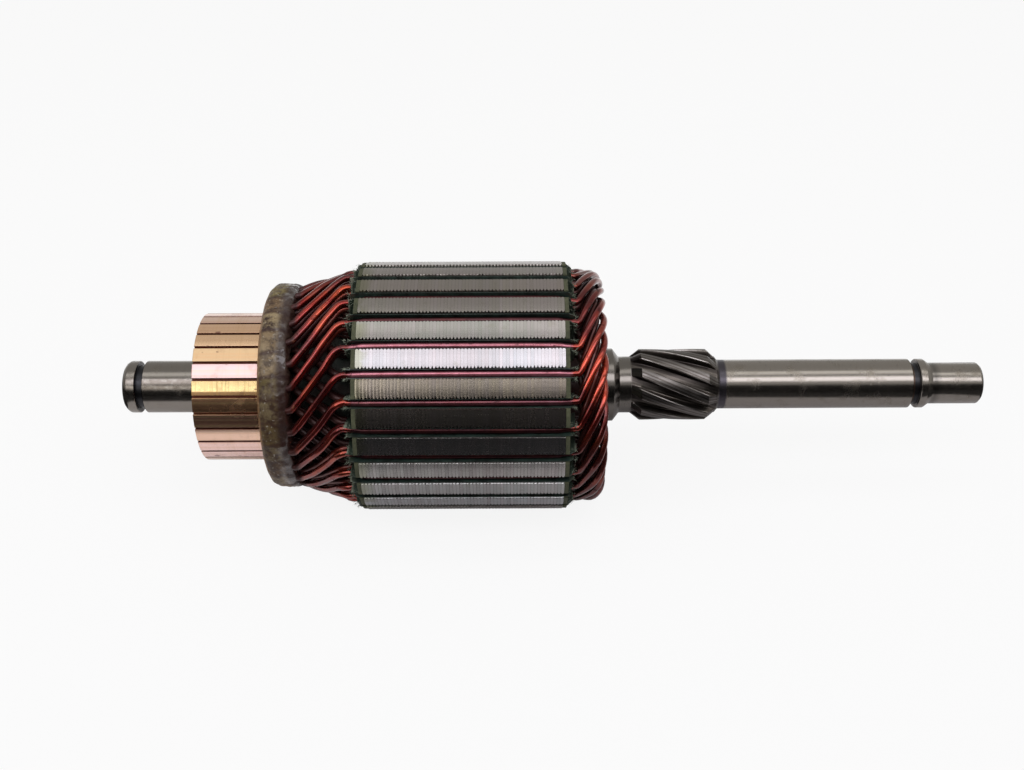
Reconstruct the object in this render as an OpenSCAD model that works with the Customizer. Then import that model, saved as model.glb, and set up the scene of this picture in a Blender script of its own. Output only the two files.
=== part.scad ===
// Wound armature of a direct-current starter motor: shaft with a helical spline,
// slotted lamination stack, wave winding of enamelled wire, and a copper commutator.
// The axis runs along +X from the commutator end to the drive end, +Z is up, and the
// origin is on the axis at the middle of the commutator-end journal.

/* [Shaft, commutator end] */
// Diameter of the commutator-end bearing journal
journal_c_d = 13.0; // [11:0.1:14]
// Length of the commutator-end bearing journal, ground part
journal_c_len = 15.3; // [10:0.1:25]
// Length of the head outside the ring groove
head_len = 3.2; // [2.2:0.1:6]
// Chamfer on the head's end
head_chamfer = 1.1; // [0.3:0.1:1.6]
// Width of the retaining-ring groove
groove_c_w = 1.85; // [0.8:0.05:2.5]
// Diameter at the bottom of the retaining-ring groove
groove_c_d = 10.9; // [9:0.1:10.9]
// Chamfer between the ring groove and the journal
journal_c_chamfer = 0.15; // [0.1:0.05:1.5]
// Diameter of the seat that the commutator is pressed on
seat_d = 14.2; // [14.1:0.1:15.5]

/* [Shaft, drive end] */
// Diameter of the core that carries the laminations, and of the collar beside the winding
core_d = 18.2; // [17:0.1:19.5]
// Length of the core that shows past the end insulator, up to the collar's chamfer
core_reach = 11.8; // [10.5:0.1:16]
// Length of the collar's chamfer
core_chamfer = 1.6; // [0.5:0.1:2.5]
// Diameter of the neck before the spline
neck_d = 14.1; // [13:0.1:15]
// Length of the neck before the spline
neck_len = 2.65; // [1:0.05:8]
// Diameter of the long ground shaft that the pinion slides on
pinion_shaft_d = 12.3; // [11:0.1:12.9]
// Length of the long ground shaft
pinion_shaft_len = 48.0; // [20:0.5:80]
// Width of the stop-ring groove
groove_d_w = 1.95; // [0.8:0.05:2.5]
// Diameter at the bottom of the stop-ring groove
groove_d_d = 10.4; // [9:0.1:10.8]
// Length of the stop collar outside the groove
stop_collar_len = 1.65; // [1:0.05:4]
// Diameter of the drive-end journal
journal_d_d = 10.3; // [8.5:0.1:10.8]
// Length of the drive-end journal, without its end chamfer
journal_d_len = 12.1; // [6:0.1:20]
// Chamfer on the drive-end journal's end
journal_d_chamfer = 0.7; // [0.3:0.1:1.5]
// Diameter of the centre-drill pilots in both ends
centre_d = 2.0; // [1:0.1:2.5]
// Depth of the centre-drill pilots
centre_depth = 5.0; // [3:0.1:8]

/* [Helical spline] */
// Outside diameter of the spline
spline_d = 17.8; // [16.6:0.1:18]
// Length of the spline with its chamfers
spline_len = 22.05; // [14:0.05:40]
// Number of spline teeth
spline_teeth = 10; // [8:1:12]
// Length along the axis of one full turn of the right-hand helix
spline_lead = 128; // [90:1:200]
// Share of each spline pitch that the tooth takes
spline_land = 0.5; // [0.35:0.01:0.6]
// Length of the chamfer where the spline starts
spline_entry = 2.55; // [1.5:0.05:4]
// Length of the chamfer where the spline ends
spline_exit = 2.2; // [1.2:0.05:4]

/* [Laminations] */
// Outside diameter of the lamination stack
stack_d = 62.0; // [61.4:0.1:64]
// Thickness of one lamination
sheet_t = 0.8; // [0.5:0.05:1]
// Number of laminations in the stack
sheets = 60; // [40:1:80]
// Width of a slot
slot_w = 2.25; // [2.2:0.01:2.6]
// Depth of the slots
slot_depth = 9.25; // [9.2:0.05:10.2]
// Thickness of the fibre insulator on each end of the stack
insulator_t = 1.0; // [0.5:0.1:2]
// How far the end insulators stay below the stack's outside radius
insulator_drop = 0.15; // [0.1:0.05:0.6]

/* [Slot liners] */
// Thickness of the liner paper
liner_t = 0.18; // [0.1:0.01:0.2]
// How far the liners stay below the stack's outside radius
liner_drop = 0.5; // [0.2:0.05:1]
// How far the liners' cuffs stand out past the end insulators
cuff_len = 1.6; // [0.8:0.1:1.7]

/* [Winding] */
// Diameter of the enamelled wire
wire_d = 1.58; // [1.4:0.01:1.6]
// Depth of the outermost wire's centre below the stack's outside radius
wire_depth = 2.85; // [2.6:0.01:2.9]
// Distance between the two wires of one coil side
strand_pitch = 1.70; // [1.68:0.01:1.74]
// Distance between the inner wire of the upper side and the outer wire of the lower side
layer_pitch = 1.80; // [1.78:0.01:1.85]
// How far the outermost wire lies below the risers' outside
riser_cover = 0.05; // [0:0.05:0.2]
// Length of the winding between the end insulator and the commutator's resin band
lead_run = 15.6; // [13:0.1:20]
// How far the outer wires' noses stand out past the drive-end insulator
nose_reach = 9.25; // [8.4:0.05:9.5]

/* [Commutator] */
// Diameter of the brush track
track_d = 36.8; // [35:0.1:37.4]
// Length of the brush track
track_len = 16.2; // [12:0.1:24]
// Width of the gap between two bars
bar_gap = 0.55; // [0.4:0.01:0.8]
// Depth that the mica is cut back below the brush track
undercut = 0.8; // [0.3:0.1:1.2]
// Length of the resin band round the risers
band_len = 7.6; // [5:0.1:10]
// Thickness of the resin over the risers
resin_t = 0.5; // [0.3:0.05:0.8]
// Radius of the resin band's corner on the brush side
band_corner = 1.6; // [0.8:0.1:2]
// Radius of the risers' outside
riser_r = 24.9; // [24.85:0.05:25.4]
// Chamfer on the risers' brush side
riser_chamfer = 1.3; // [0.8:0.1:1.6]
// Inside radius of the copper bars
bar_foot_r = 12.6; // [11.5:0.1:13]
// Wall of the steel bush under the commutator
bush_t = 1.4; // [1:0.1:2]

/* [Hidden] */
$fn = 96;
slots = 28;              // slots, coils and commutator bars
pitch = 360 / slots;     // angle of one slot pitch
lead_span_upper = 2.5;   // slot pitches from a slot back to the bar, upper side
lead_span_lower = 1.5;   // slot pitches from a slot on to the bar, lower side
coil_span = 5;           // slot pitches that one coil spans
bend = 0.65;             // length over which a wire turns out of its slot
cuff_clear = 0.3;        // length a wire runs straight beside its cuff and its riser
fit = 0.03;              // clearance of liners and wires in what holds them
press = 0.015;           // radial clearance drawn at press fits
head_foot = 0.15;        // chamfer on the inside edge of the head
groove_d_foot = 0.15;    // chamfers on both edges of the stop-ring groove
stop_chamfer_len = 1.4;  // length of the stop collar's chamfer
spline_runout = 0.75;    // cone from the spline's root down to the pinion shaft
dovetail = 2.2;          // reach of the dovetails that hold the bars
dovetail_back = 1.2;     // undercut of those dovetails
dovetail_r = 1.8;        // height of each dovetail's inner flank
over = 1;                // length that a cut runs past the faces it goes through
face_gap = 0.5;          // bush and seat stay this far inside the commutator's face

// Stations along the axis, from the commutator end to the drive end
journal_x0 = -journal_c_len / 2;
groove_c_x1 = journal_x0 - journal_c_chamfer;
groove_c_x0 = groove_c_x1 - groove_c_w;
shaft_x0 = groove_c_x0 - head_len;
track_x0 = journal_c_len / 2;
band_x0 = track_x0 + track_len;
band_x1 = band_x0 + band_len;
core_x0 = band_x1 + press;
face_c = band_x1 + lead_run;
stack_x0 = face_c + insulator_t;
stack_x1 = stack_x0 + sheets * sheet_t;
face_d = stack_x1 + insulator_t;
core_x1 = face_d + core_reach;
neck_x0 = core_x1 + core_chamfer;
spline_x0 = neck_x0 + neck_len;
spline_x1 = spline_x0 + spline_len;
spline_end = spline_x1 - spline_runout;
groove_d_x0 = spline_x1 + pinion_shaft_len;
groove_d_x1 = groove_d_x0 + groove_d_w;
stop_x1 = groove_d_x1 + stop_collar_len;
journal_d_x0 = stop_x1 + stop_chamfer_len;
journal_d_x1 = journal_d_x0 + journal_d_len;
shaft_x1 = journal_d_x1 + journal_d_chamfer;

// Radii of the four wires in a slot, outermost first, and of the parts round them
wire_r = [
    stack_d / 2 - wire_depth,
    stack_d / 2 - wire_depth - strand_pitch,
    stack_d / 2 - wire_depth - strand_pitch - layer_pitch,
    stack_d / 2 - wire_depth - 2 * strand_pitch - layer_pitch
];
lead_drop = wire_r[0] + wire_d / 2 + riser_cover - riser_r;
slot_floor_r = stack_d / 2 - slot_depth;
liner_w = slot_w - 2 * fit;
liner_floor_r = slot_floor_r + fit;
liner_top_r = stack_d / 2 - liner_drop;
seat_x0 = track_x0 + face_gap;
seat_x1 = band_x1 - face_gap;
bush_r = seat_d / 2 + press + bush_t;
band_r = riser_r + resin_t;
wire_end_x = band_x0 + resin_t + riser_chamfer + cuff_clear;
tooth_foot = 0.5;        // depth that spline teeth reach into the root
tooth_sink = 0.15;       // depth of the teeth's tops below the root at both ends
spline_phase = -119;     // angle of one spline tooth's middle at the spline's middle

function coil_name(k) = str("coil_", k < 9 ? "0" : "", k + 1);

// Turns a shape drawn along +Z so that it lies along +X, with its +X side down
module along_axis() {
    rotate([0, 90, 0]) children();
}

// Solid of revolution about the axis from [station, radius] points
module turned(points) {
    along_axis() rotate_extrude() polygon([for (p = points) [p[1], p[0]]]);
}

module each_slot() {
    for (k = [0:slots - 1]) rotate(k * pitch) children();
}

// ---------------------------------------------------------------- shaft

// Radius of the spline's tooth tops at a station, with both chamfers
function tooth_top_r(x) =
    let (foot = neck_d / 2 - tooth_sink, top = spline_d / 2)
    min(top, foot + (top - foot) * min(
        (x - spline_x0) / spline_entry,
        (spline_end - x) / spline_exit));

function spline_angle(x) =
    spline_phase + 360 * (x - (spline_x0 + spline_x1) / 2) / spline_lead;

// Four corners of a spline tooth's section at a station
function tooth_ring(x) =
    let (foot = neck_d / 2 - tooth_foot, top = tooth_top_r(x),
         half = spline_land * 180 / spline_teeth, mid = spline_angle(x))
    [for (c = [[foot, -half], [top, -half], [top, half], [foot, half]])
        [c[0] * cos(mid + c[1]), c[0] * sin(mid + c[1]), x]];

module spline_tooth() {
    steps = 6;
    x0 = spline_x0;
    x1 = spline_x0 + spline_entry;
    x2 = spline_end - spline_exit;
    stations = concat([x0], [for (i = [0:steps]) x1 + (x2 - x1) * i / steps], [spline_end]);
    skin([for (x = stations) tooth_ring(x)]);
}

// Closed skin over a list of rings that all have the same number of points
module skin(rings) {
    n = len(rings[0]);
    last = len(rings) - 1;
    polyhedron(
        points = [for (ring = rings) each ring],
        faces = concat(
            [[for (j = [0:n - 1]) j]],
            [for (i = [0:last - 1], j = [0:n - 1])
                [i * n + j, (i + 1) * n + j, (i + 1) * n + (j + 1) % n, i * n + (j + 1) % n]],
            [[for (j = [n - 1:-1:0]) last * n + j]]),
        convexity = 6);
}

module shaft_body() {
    centre_r = centre_d / 2;
    cone = centre_r * 1.7;
    turned([
        [shaft_x0 + centre_depth, 0],
        [shaft_x0 + centre_depth, centre_r],
        [shaft_x0 + cone, centre_r],
        [shaft_x0, 2 * centre_r],
        [shaft_x0, journal_c_d / 2 - head_chamfer],
        [shaft_x0 + head_chamfer, journal_c_d / 2],
        [groove_c_x0 - head_foot, journal_c_d / 2],
        [groove_c_x0, journal_c_d / 2 - head_foot],
        [groove_c_x0, groove_c_d / 2],
        [groove_c_x1, groove_c_d / 2],
        [groove_c_x1, journal_c_d / 2 - journal_c_chamfer],
        [journal_x0, journal_c_d / 2],
        [seat_x0, journal_c_d / 2],
        [seat_x0, seat_d / 2],
        [core_x0, seat_d / 2],
        [core_x0, core_d / 2],
        [core_x1, core_d / 2],
        [neck_x0, neck_d / 2],
        [spline_end, neck_d / 2],
        [spline_x1, pinion_shaft_d / 2],
        [groove_d_x0 - groove_d_foot, pinion_shaft_d / 2],
        [groove_d_x0, pinion_shaft_d / 2 - groove_d_foot],
        [groove_d_x0, groove_d_d / 2],
        [groove_d_x1, groove_d_d / 2],
        [groove_d_x1, pinion_shaft_d / 2 - groove_d_foot],
        [groove_d_x1 + groove_d_foot, pinion_shaft_d / 2],
        [stop_x1, pinion_shaft_d / 2],
        [journal_d_x0, journal_d_d / 2],
        [journal_d_x1, journal_d_d / 2],
        [shaft_x1, journal_d_d / 2 - journal_d_chamfer],
        [shaft_x1, 2 * centre_r],
        [shaft_x1 - cone, centre_r],
        [shaft_x1 - centre_depth, centre_r],
        [shaft_x1 - centre_depth, 0]
    ]);
}

module shaft() {
    color("silver") {
        shaft_body();
        along_axis() for (k = [0:spline_teeth - 1]) rotate(k * 360 / spline_teeth) spline_tooth();
    }
}

// ---------------------------------------------------------------- stack

// Flat disc with the bore and the slots; extra widens the slots on each side
module slotted_disc(r, extra) {
    difference() {
        circle(r);
        circle(core_d / 2 + press);
        each_slot() translate([slot_floor_r - extra, -slot_w / 2 - extra])
            square([stack_d / 2, slot_w + 2 * extra]);
    }
}

module lamination_stack() {
    color("lightgray") along_axis() translate([0, 0, stack_x0])
        linear_extrude(stack_x1 - stack_x0) slotted_disc(stack_d / 2, 0);
}

module end_insulator(x) {
    color("darkolivegreen") along_axis() translate([0, 0, x])
        linear_extrude(insulator_t) slotted_disc(stack_d / 2 - insulator_drop, fit);
}

module end_insulator_commutator_side() {
    end_insulator(face_c);
}

module end_insulator_drive_side() {
    end_insulator(stack_x1);
}

module slot_liners() {
    color("seagreen") along_axis() translate([0, 0, face_c - cuff_len])
        linear_extrude(face_d - face_c + 2 * cuff_len) each_slot() difference() {
            translate([liner_floor_r, -liner_w / 2])
                square([liner_top_r - liner_floor_r, liner_w]);
            translate([liner_floor_r + liner_t, -liner_w / 2 + liner_t])
                square([liner_top_r, liner_w - 2 * liner_t]);
        }
}

// ---------------------------------------------------------------- commutator

// Inside of the bars, [station, radius], with both dovetails, drawn smaller by gap g
function dovetails(g) = [
    [track_x0, bar_foot_r + 2 * dovetail_r - 2 * g],
    [track_x0 + dovetail - 2 * g, bar_foot_r + dovetail_r],
    [track_x0 + dovetail - dovetail_back - 2 * g, bar_foot_r - g],
    [band_x1 - dovetail + dovetail_back + 2 * g, bar_foot_r - g],
    [band_x1 - dovetail + 2 * g, bar_foot_r + dovetail_r],
    [band_x1, bar_foot_r + 2 * dovetail_r - 2 * g]
];

// Long section of a bar up to the given track and riser radii
function bar_section(track, riser) = concat(
    [[track_x0, track]],
    dovetails(0),
    [[band_x1, riser],
     [band_x0 + resin_t + riser_chamfer, riser],
     [band_x0 + resin_t, riser - riser_chamfer],
     [band_x0 + resin_t, track]]);

// One bar, from the gap at angle 0 to the next one, with the slot that takes the wires
module bar() {
    difference() {
        rotate_extrude(angle = pitch)
            polygon([for (p = bar_section(track_d / 2, riser_r)) [p[1], p[0]]]);
        for (a = [0, pitch]) rotate(a) translate([0, -bar_gap / 2, track_x0 - over])
            cube([stack_d, bar_gap, band_x1 - track_x0 + 2 * over]);
        rotate(pitch / 2)
            translate([wire_r[3] - lead_drop - wire_d / 2 - fit, -wire_d / 2 - fit, wire_end_x - fit])
            cube([stack_d, wire_d + 2 * fit, band_len]);
    }
}

module commutator_bars() {
    color("peru") along_axis() each_slot() bar();
}

module commutator_mica() {
    color("sienna") along_axis() each_slot()
        translate([0, bar_gap / 2 - press, 0]) rotate([90, 0, 0])
        linear_extrude(bar_gap - 2 * press)
        polygon([for (p = bar_section(track_d / 2 - undercut, riser_r - undercut)) [p[1], p[0]]]);
}

module commutator_moulding() {
    color("saddlebrown") turned(concat(
        [[track_x0, bush_r + press]],
        dovetails(press),
        [[band_x1, bush_r + press]]));
}

module commutator_bush() {
    color("gray") turned([
        [seat_x0, seat_d / 2 + press],
        [seat_x0, bush_r],
        [seat_x1, bush_r],
        [seat_x1, seat_d / 2 + press]
    ]);
}

module riser_resin_band() {
    arc_steps = 8;
    color("darkkhaki") turned(concat(
        [[band_x0, track_d / 2 + press],
         [band_x0, band_r - band_corner]],
        [for (i = [1:arc_steps]) let (a = 90 * i / arc_steps)
            [band_x0 + band_corner * (1 - cos(a)), band_r - band_corner * (1 - sin(a))]],
        [[band_x1, band_r],
         [band_x1, riser_r + press],
         [band_x0 + resin_t + riser_chamfer - press, riser_r + press],
         [band_x0 + resin_t - press, riser_r - riser_chamfer + press],
         [band_x0 + resin_t - press, track_d / 2 + press]]));
}

// ---------------------------------------------------------------- winding

// Share of the way covered at share u, with short curves at both ends of a straight run
function ease(u, b) =
    u < b ? u * u / (2 * b * (1 - b)) :
    u > 1 - b ? 1 - (1 - u) * (1 - u) / (2 * b * (1 - b)) :
    (u - b / 2) / (1 - b);

// A wire's way from the slot's mouth to its riser: [station, radius, angle] points
function lead(r, turn, steps) =
    let (x0 = face_c - cuff_len - cuff_clear, x1 = band_x1 + cuff_clear)
    [for (i = [0:steps]) let (u = i / steps, v = max(0, (u - 0.14) / 0.86))
        [x0 + (x1 - x0) * u, r - lead_drop * v * (1.35 - 0.35 * v), turn * ease(u, 0.16)]];

// A wire's way round the drive end, out at radius r0, over an arc, and back at radius r1
function nose(r0, r1, arc_steps) =
    let (h = (r0 - r1) / 2, x0 = face_d + cuff_len + cuff_clear,
         xc = face_d + nose_reach - wire_d / 2 - (wire_r[0] - wire_r[3]) / 2,
         a = xc - x0, total = 2 * a + PI * h, turn = coil_span * pitch)
    [for (s = concat([0, a / 2], [for (i = [0:arc_steps]) a + PI * h * i / arc_steps],
                     [total - a / 2, total]))
        let (q = (s - a) / h * 180 / PI, angle = turn * ease(s / total, bend / total))
        s < a ? [x0 + s, r0, angle] :
        s > total - a ? [x0 + total - s, r1, angle] :
        [xc + h * sin(q), r1 + h * (1 + cos(q)), angle]];

function reversed(list) = [for (i = [len(list) - 1:-1:0]) list[i]];
function turned_by(list, angle) = [for (p = list) [p[0], p[1], p[2] + angle]];

// Whole course of one wire: bar, upper slot side, nose, lower slot side, bar
function wire_course(r0, r1, lead_steps, arc_steps, tail_steps) =
    let (out = lead(r0, -lead_span_upper * pitch, lead_steps),
         back = turned_by(lead(r1, lead_span_lower * pitch, tail_steps), coil_span * pitch),
         start = out[lead_steps], end = back[tail_steps])
    concat(
        [[wire_end_x, start[1], start[2]]],
        reversed(out),
        nose(r0, r1, arc_steps),
        back,
        [[wire_end_x, end[1], end[2]]]);

function place(p) = [p[1] * cos(-p[2]), p[1] * sin(-p[2]), p[0]];
function unit(v) = v / norm(v);

// Round section of a wire at point i of its course, with one flat facing the axis
function wire_ring(course, i, sides) =
    let (last = len(course) - 1,
         here = place(course[i]),
         ahead = place(course[min(i + 1, last)]),
         behind = place(course[max(i - 1, 0)]),
         before = i > 0 ? unit(here - behind) : unit(ahead - here),
         after = i < last ? unit(ahead - here) : before,
         way = unit(before + after),
         out = [cos(-course[i][2]), sin(-course[i][2]), 0],
         up = unit(out - (out * way) * way),
         side = cross(way, up))
    [for (j = [0:sides - 1]) let (a = 360 * (j + 0.5) / sides)
        here + wire_d / 2 * (cos(a) * up + sin(a) * side)];

module wire(course, sides) {
    skin([for (i = [0:len(course) - 1]) wire_ring(course, i, sides)]);
}

// Coil k: two wires in parallel, the outer one in a 6-sided and the inner in a 5-sided section
module coil(k) {
    color("firebrick") along_axis() rotate(-k * pitch) {
        wire(wire_course(wire_r[0], wire_r[3], 3, 5, 2), 6);
        wire(wire_course(wire_r[1], wire_r[2], 3, 4, 2), 5);
    }
}

shaft();
lamination_stack();
end_insulator_commutator_side();
end_insulator_drive_side();
slot_liners();
commutator_bush();
commutator_moulding();
commutator_mica();
commutator_bars();
riser_resin_band();
for (k = [0:slots - 1]) coil(k);
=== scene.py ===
"""Wound armature of a direct-current starter motor, dressed for rendering.

The axis lies along +X from the commutator end to the drive end, and +Z is up. Sizes are
in millimetres and turns in radians, counted about the axis from the underside, up past
the front (-Y) to the top. Pieces are stored in metres.
"""

import math
import random

import bmesh
import bpy
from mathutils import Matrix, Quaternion, Vector, noise


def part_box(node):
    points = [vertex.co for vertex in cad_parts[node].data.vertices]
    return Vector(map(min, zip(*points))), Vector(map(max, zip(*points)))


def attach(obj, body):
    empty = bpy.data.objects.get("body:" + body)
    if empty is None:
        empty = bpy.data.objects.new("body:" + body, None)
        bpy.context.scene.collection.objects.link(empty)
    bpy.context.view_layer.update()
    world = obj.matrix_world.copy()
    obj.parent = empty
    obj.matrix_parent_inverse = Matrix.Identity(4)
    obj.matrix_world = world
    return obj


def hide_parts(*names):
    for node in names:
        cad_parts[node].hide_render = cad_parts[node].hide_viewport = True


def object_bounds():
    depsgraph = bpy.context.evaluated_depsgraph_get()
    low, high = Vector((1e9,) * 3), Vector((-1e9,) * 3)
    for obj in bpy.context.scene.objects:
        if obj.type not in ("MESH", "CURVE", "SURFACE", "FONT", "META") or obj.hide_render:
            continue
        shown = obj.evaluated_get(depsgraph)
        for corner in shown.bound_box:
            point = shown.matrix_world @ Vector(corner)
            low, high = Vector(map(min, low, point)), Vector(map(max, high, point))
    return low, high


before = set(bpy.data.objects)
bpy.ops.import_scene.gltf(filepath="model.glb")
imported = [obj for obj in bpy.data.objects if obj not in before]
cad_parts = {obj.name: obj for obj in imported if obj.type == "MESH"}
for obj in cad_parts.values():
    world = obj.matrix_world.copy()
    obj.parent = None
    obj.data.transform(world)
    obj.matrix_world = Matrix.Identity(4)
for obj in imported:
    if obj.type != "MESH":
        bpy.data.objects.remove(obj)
CAD_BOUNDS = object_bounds()
FLOOR_Z = CAD_BOUNDS[0][2]

MM = 0.001
TAU = 2 * math.pi
random.seed(28)
# Blender's vector noise starts from the clock otherwise
noise.seed_set(28)


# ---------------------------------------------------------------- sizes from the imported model

def node_box(node):
    low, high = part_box(node)
    return Vector(low) / MM, Vector(high) / MM


SLOTS = 28
PITCH = TAU / SLOTS
SLOT_W = 2.25
SLOT_DEPTH = 9.25
SHEETS = 60

stack_low, stack_high = node_box("lamination_stack")
STACK_X0, STACK_X1 = stack_low.x, stack_high.x
STACK_R = math.hypot(stack_high.z, SLOT_W / 2)
SHEET_T = (STACK_X1 - STACK_X0) / SHEETS
SLOT_FLOOR_R = STACK_R - SLOT_DEPTH
# C is the commutator's end and D the drive end, here and in the shaft's sizes
FACE_C = node_box("end_insulator_commutator_side")[0].x
FACE_D = node_box("end_insulator_drive_side")[1].x
CUFF_LEN = FACE_C - node_box("slot_liners")[0].x

shaft_low, shaft_high = node_box("shaft")
SHAFT_X0, SHAFT_X1 = shaft_low.x, shaft_high.x
bars_low, bars_high = node_box("commutator_bars")
TRACK_X0, BAND_X1 = bars_low.x, bars_high.x
band_low, band_high = node_box("riser_resin_band")
BAND_X0, BAND_R = band_low.x, band_high.z
TRACK_R = 18.4
RISER_R = BAND_R - 0.5
BAR_GAP = 0.55
BAR_FOOT_R = 12.6

# The wires' four layers in a slot, from the outermost in, and how far the coils lean
WIRE_D = 1.66
WIRE_R = (28.15, 26.45, 24.65, 22.95)
LEAD_END_R = BAND_R - WIRE_D / 2 - 0.08
LEAD_SPAN_UPPER = 2.5 * PITCH
LEAD_SPAN_LOWER = 1.5 * PITCH
COIL_SPAN = 5 * PITCH
CUFF_CLEAR = 0.3
NOSE_X = node_box("coil_01")[1].x - WIRE_D / 2 - (WIRE_R[0] - WIRE_R[3]) / 2


# ---------------------------------------------------------------- mesh building

def spot(x, r, turn):
    """Point at station x and radius r, at a turn about the axis."""
    return Vector((x * MM, -r * MM * math.sin(turn), -r * MM * math.cos(turn)))


def lerp(a, b, u):
    return a + (b - a) * u


def loft(rings, caps=True):
    """Vertices and faces of a closed tube over rings that have the same number of points."""
    n = len(rings[0])
    points = [p for ring in rings for p in ring]
    faces = [(i * n + j, i * n + (j + 1) % n, (i + 1) * n + (j + 1) % n, (i + 1) * n + j)
             for i in range(len(rings) - 1) for j in range(n)]
    if caps:
        last = (len(rings) - 1) * n
        faces.append(tuple(range(n - 1, -1, -1)))
        faces.append(tuple(range(last, last + n)))
    return points, faces


def joined(parts):
    """One list of vertices and one of faces for several meshes."""
    points, faces = [], []
    for more_points, more_faces in parts:
        start = len(points)
        points += more_points
        faces += [tuple(start + i for i in face) for face in more_faces]
    return points, faces


def make_piece(name, mesh_parts, finish, nodes=(), sharp=35):
    """A piece of the armature that rides on the root body and stands for some CAD nodes."""
    points, faces = mesh_parts
    mesh = bpy.data.meshes.new(name)
    mesh.from_pydata(points, [], faces)
    work = bmesh.new()
    work.from_mesh(mesh)
    bmesh.ops.recalc_face_normals(work, faces=work.faces)
    work.to_mesh(mesh)
    work.free()
    mesh.shade_smooth()
    mesh.set_sharp_from_angle(angle=math.radians(sharp))
    mesh.materials.append(finish)
    piece = bpy.data.objects.new(name, mesh)
    bpy.context.scene.collection.objects.link(piece)
    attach(piece, "root")
    if nodes:
        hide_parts(*nodes)
    return piece


# ---------------------------------------------------------------- finishes

class Value:
    """A node's output socket that takes arithmetic and adds the Math nodes for it."""

    def __init__(self, finish, socket):
        self.finish, self.socket = finish, socket

    def math(self, operation, *others):
        return self.finish.node("Math", {"operation": operation}, dict(enumerate((self, *others))))

    def __add__(self, other): return self.math("ADD", other)
    def __sub__(self, other): return self.math("SUBTRACT", other)
    def __mul__(self, other): return self.math("MULTIPLY", other)
    def __truediv__(self, other): return self.math("DIVIDE", other)
    def __radd__(self, other): return self.math("ADD", other)
    def __rmul__(self, other): return self.math("MULTIPLY", other)
    def __rsub__(self, other): return (self * -1).math("ADD", other)

    def clamp(self): return self.finish.node("Clamp", {}, {"Value": self})
    def floor(self): return self.math("FLOOR")
    def fraction(self): return self.math("FRACT")
    def absolute(self): return self.math("ABSOLUTE")

    def above(self, edge, soft):
        """0 below the edge and 1 above it, with a soft step."""
        return ((self - edge) / soft + 0.5).clamp()


class Finish:
    """A procedural material: a Principled shader and the nodes that feed it."""

    def __init__(self, name):
        self.material = bpy.data.materials.new(name)
        self.material.use_nodes = True
        self.tree = self.material.node_tree
        self.shader = self.tree.nodes["Principled BSDF"]

    def node(self, kind, settings, inputs, output=0):
        """Adds a node, sets it and its inputs, and gives one of its outputs."""
        made = self.tree.nodes.new("ShaderNode" + kind)
        for key, value in settings.items():
            if key == "stops":
                ramp = made.color_ramp
                while len(ramp.elements) < len(value):
                    ramp.elements.new(0.5)
                for element, (at, colour) in zip(ramp.elements, value):
                    element.position, element.color = at, (*colour, 1)
            else:
                setattr(made, key, value)
        for key, value in inputs.items():
            self.feed(made.inputs[key], value)
        return Value(self, made.outputs[output])

    def feed(self, socket, value):
        """Links a value to a socket, or stores a number or a colour in it."""
        if isinstance(value, Value):
            self.tree.links.new(value.socket, socket)
        elif socket.type == "RGBA":
            socket.default_value = (*value, 1)
        else:
            socket.default_value = value

    def set(self, **inputs):
        """Values or links of the Principled shader's inputs, named with underscores."""
        for key, value in inputs.items():
            self.feed(self.shader.inputs[key.replace("_", " ")], value)

    def place(self):
        """Where the shaded point lies on the armature, in metres."""
        return self.node("TexCoord", {}, {}, "Object")

    def axes(self):
        """Station in mm, turn in radians and radius in mm of the shaded point."""
        outputs = self.node("SeparateXYZ", {}, {0: self.place()}).socket.node.outputs
        x, y, z = (Value(self, outputs[i]) for i in range(3))
        turn = (y * -1).math("ARCTAN2", z * -1)
        return x * 1000, turn, (y * y + z * z).math("SQRT") * 1000

    def noise(self, scale, detail=3, rough=0.5, vector=None):
        return self.node("TexNoise", {}, {"Vector": vector or self.place(), "Scale": scale,
                                          "Detail": detail, "Roughness": rough})

    def stretched(self, x_scale, other_scale):
        """The place with the run along the axis scaled on its own, for streaks."""
        return self.node("Mapping", {}, {"Vector": self.place(),
                                         "Scale": (x_scale, other_scale, other_scale)})

    def cell(self, value, seed=0.0):
        """A random share from 0 to 1 for each whole number."""
        return self.node("TexWhiteNoise", {"noise_dimensions": "1D"}, {"W": value + seed})

    def mix(self, share, a, b):
        """Colour a where the share is 0 and b where it is 1."""
        return self.node("Mix", {"data_type": "RGBA"}, {0: share, 6: a, 7: b}, 2)

    def layers(self, colour, *coats):
        """A colour with (share, tint) coats laid over it one after another."""
        for share, tint in coats:
            colour = self.mix(share, colour, tint)
        return colour

    def ramp(self, share, stops):
        return self.node("ValToRGB", {"stops": stops}, {0: share})

    def bump(self, height, depth_mm):
        return self.node("Bump", {}, {"Height": height, "Distance": depth_mm * MM})


def between(x, low, high, soft=0.12):
    """1 between two stations and 0 outside them."""
    return x.above(low, soft) * (1 - x.above(high, soft))


def near(value, middle, half=0.5, soft=0.1):
    """1 within half a width of the middle and 0 beyond; as it is, for one whole number."""
    return 1 - (value - middle).absolute().above(half, soft)


def near_turn(turn, middle, half, soft):
    """The same about the axis, all in degrees."""
    return near(turn, *(math.radians(degrees) for degrees in (middle, half, soft)))


def past_turn(turn, edge, soft):
    """1 higher up the front than an edge in degrees."""
    return turn.above(math.radians(edge), math.radians(soft))


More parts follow.
